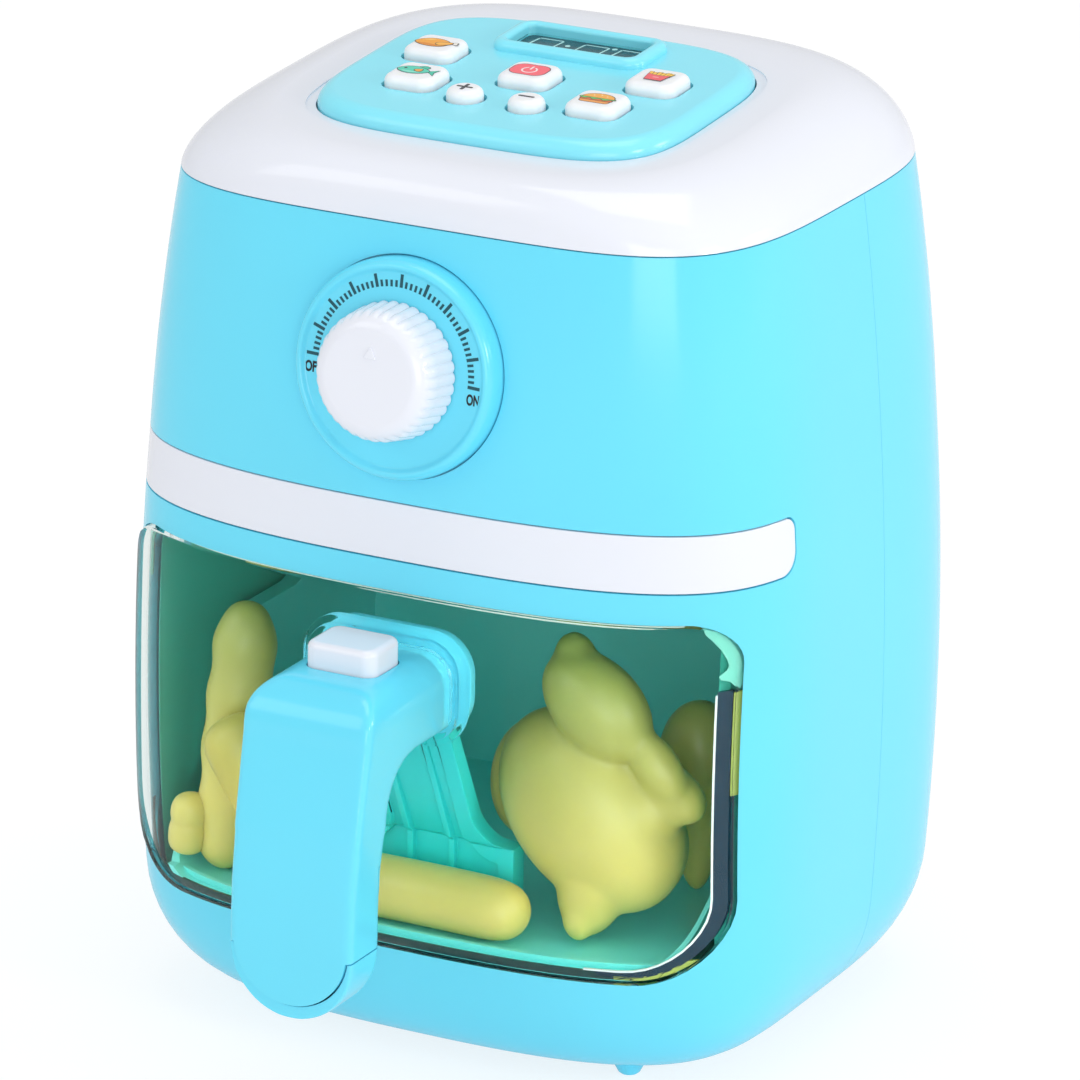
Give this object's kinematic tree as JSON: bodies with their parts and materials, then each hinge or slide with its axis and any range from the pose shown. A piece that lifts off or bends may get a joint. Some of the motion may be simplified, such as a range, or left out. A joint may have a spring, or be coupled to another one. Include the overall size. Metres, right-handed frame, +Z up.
{
  "type": "toy air fryer",
  "caption": "Toy air fryer with a pull-out drawer of play food behind a clear window, a turning dial, a sloping button panel and a handle with a release button.",
  "frame": {"origin": "middle of the outer box in plan, handle included, on the surface that the feet rest on", "axes": "+Z up, -Y out of the front with the window, dial and handle, +X to the right seen from the front"},
  "size_m": [0.1568, 0.182, 0.2106],
  "materials": {
    "blue_shell": "glossy moulded ABS, light sky blue",
    "white_shell": "glossy moulded ABS, white",
    "teal_inner": "satin moulded PP, light teal",
    "clear_window": "clear moulded PS with a faint green tint",
    "food_yellow": "soft translucent PVC, pale yellow",
    "white_key": "white moulded ABS with printed signs",
    "dark_screen": "dark teal printed card and smoked lens",
    "rubber_pad": "grey silicone rubber",
    "board_green": "green laminate circuit board",
    "bright_steel": "zinc-plated steel",
    "black_part": "black plastic and battery sleeve"
  },
  "bodies": {
    "housing": {"front_shell": "blue_shell", "rear_shell": "blue_shell", "base_plate": "blue_shell", "top_cap": "white_shell", "trim_band": "white_shell", "shell_screw_1": "bright_steel", "shell_screw_2": "bright_steel", "shell_screw_3": "bright_steel", "shell_screw_4": "bright_steel", "speaker": "black_part", "chamber_liner": "teal_inner", "chamber_lamp": "clear_window", "lamp_board": "board_green", "dial_bezel": "blue_shell", "dial_click_spring": "bright_steel", "control_panel": "blue_shell", "display_lens": "dark_screen", "display_card": "dark_screen", "keypad": "rubber_pad", "circuit_board": "board_green", "board_screw_left": "bright_steel", "board_screw_right": "bright_steel", "battery_box": "blue_shell", "battery_1": "black_part", "battery_2": "black_part", "battery_3": "black_part", "battery_contact_left": "bright_steel", "battery_contact_right": "bright_steel"},
    "drawer": {"drawer_window": "clear_window", "drawer_tub": "teal_inner", "handle_bracket": "teal_inner", "handle_screw_left": "bright_steel", "handle_screw_right": "bright_steel", "handle_front_cover": "blue_shell", "handle_rear_shell": "blue_shell", "release_spring": "bright_steel", "roast_chicken": "food_yellow", "wavy_stick": "food_yellow", "sausage": "food_yellow", "leaning_stick": "food_yellow", "short_stick": "food_yellow", "round_loaf": "food_yellow"},
    "release": {"release_button": "white_shell"},
    "dial": {"dial_knob": "white_shell", "dial_click_wheel": "white_shell", "dial_screw": "bright_steel"},
    "chicken_key": {"button_chicken": "white_key"},
    "fries_key": {"button_fries": "white_key"},
    "power_key": {"button_power": "white_key"},
    "fish_key": {"button_fish": "white_key"},
    "burger_key": {"button_burger": "white_key"},
    "plus_key": {"button_plus": "white_key"},
    "minus_key": {"button_minus": "white_key"},
    "battery_cover": {"battery_door": "blue_shell", "battery_screw": "bright_steel"}
  },
  "joints": [
    {"name": "drawer_slide", "type": "slide", "parent": "housing", "child": "drawer", "axis": [0, -1, 0], "range_m": [0, 0.09]},
    {"name": "release_press", "type": "slide", "parent": "drawer", "child": "release", "axis": [0, 0, -1], "range_m": [0, 0.0022], "stiffness_N_per_m": 900, "deforming": ["release_spring"]},
    {"name": "dial_turn", "type": "hinge", "parent": "housing", "child": "dial", "pos_m": [0, -0.0444, 0.1582], "axis": [0, -0.9943, 0.1062], "range_deg": [-90, 90]},
    {"name": "chicken_press", "type": "slide", "parent": "housing", "child": "chicken_key", "axis": [0, 0.0698, -0.9976], "range_m": [0, 0.0012], "stiffness_N_per_m": 900, "deforming": ["keypad"]},
    {"name": "fries_press", "type": "slide", "parent": "housing", "child": "fries_key", "axis": [0, 0.0698, -0.9976], "range_m": [0, 0.0012], "stiffness_N_per_m": 900, "deforming": ["keypad"]},
    {"name": "power_press", "type": "slide", "parent": "housing", "child": "power_key", "axis": [0, 0.0698, -0.9976], "range_m": [0, 0.0012], "stiffness_N_per_m": 900, "deforming": ["keypad"]},
    {"name": "fish_press", "type": "slide", "parent": "housing", "child": "fish_key", "axis": [0, 0.0698, -0.9976], "range_m": [0, 0.0012], "stiffness_N_per_m": 900, "deforming": ["keypad"]},
    {"name": "burger_press", "type": "slide", "parent": "housing", "child": "burger_key", "axis": [0, 0.0698, -0.9976], "range_m": [0, 0.0012], "stiffness_N_per_m": 900, "deforming": ["keypad"]},
    {"name": "plus_press", "type": "slide", "parent": "housing", "child": "plus_key", "axis": [0, 0.0698, -0.9976], "range_m": [0, 0.0012], "stiffness_N_per_m": 900, "deforming": ["keypad"]},
    {"name": "minus_press", "type": "slide", "parent": "housing", "child": "minus_key", "axis": [0, 0.0698, -0.9976], "range_m": [0, 0.0012], "stiffness_N_per_m": 900, "deforming": ["keypad"]},
    {"name": "battery_door_pull", "type": "slide", "parent": "housing", "child": "battery_cover", "axis": [0, 1, 0], "range_m": [0, 0.03]}
  ]
}
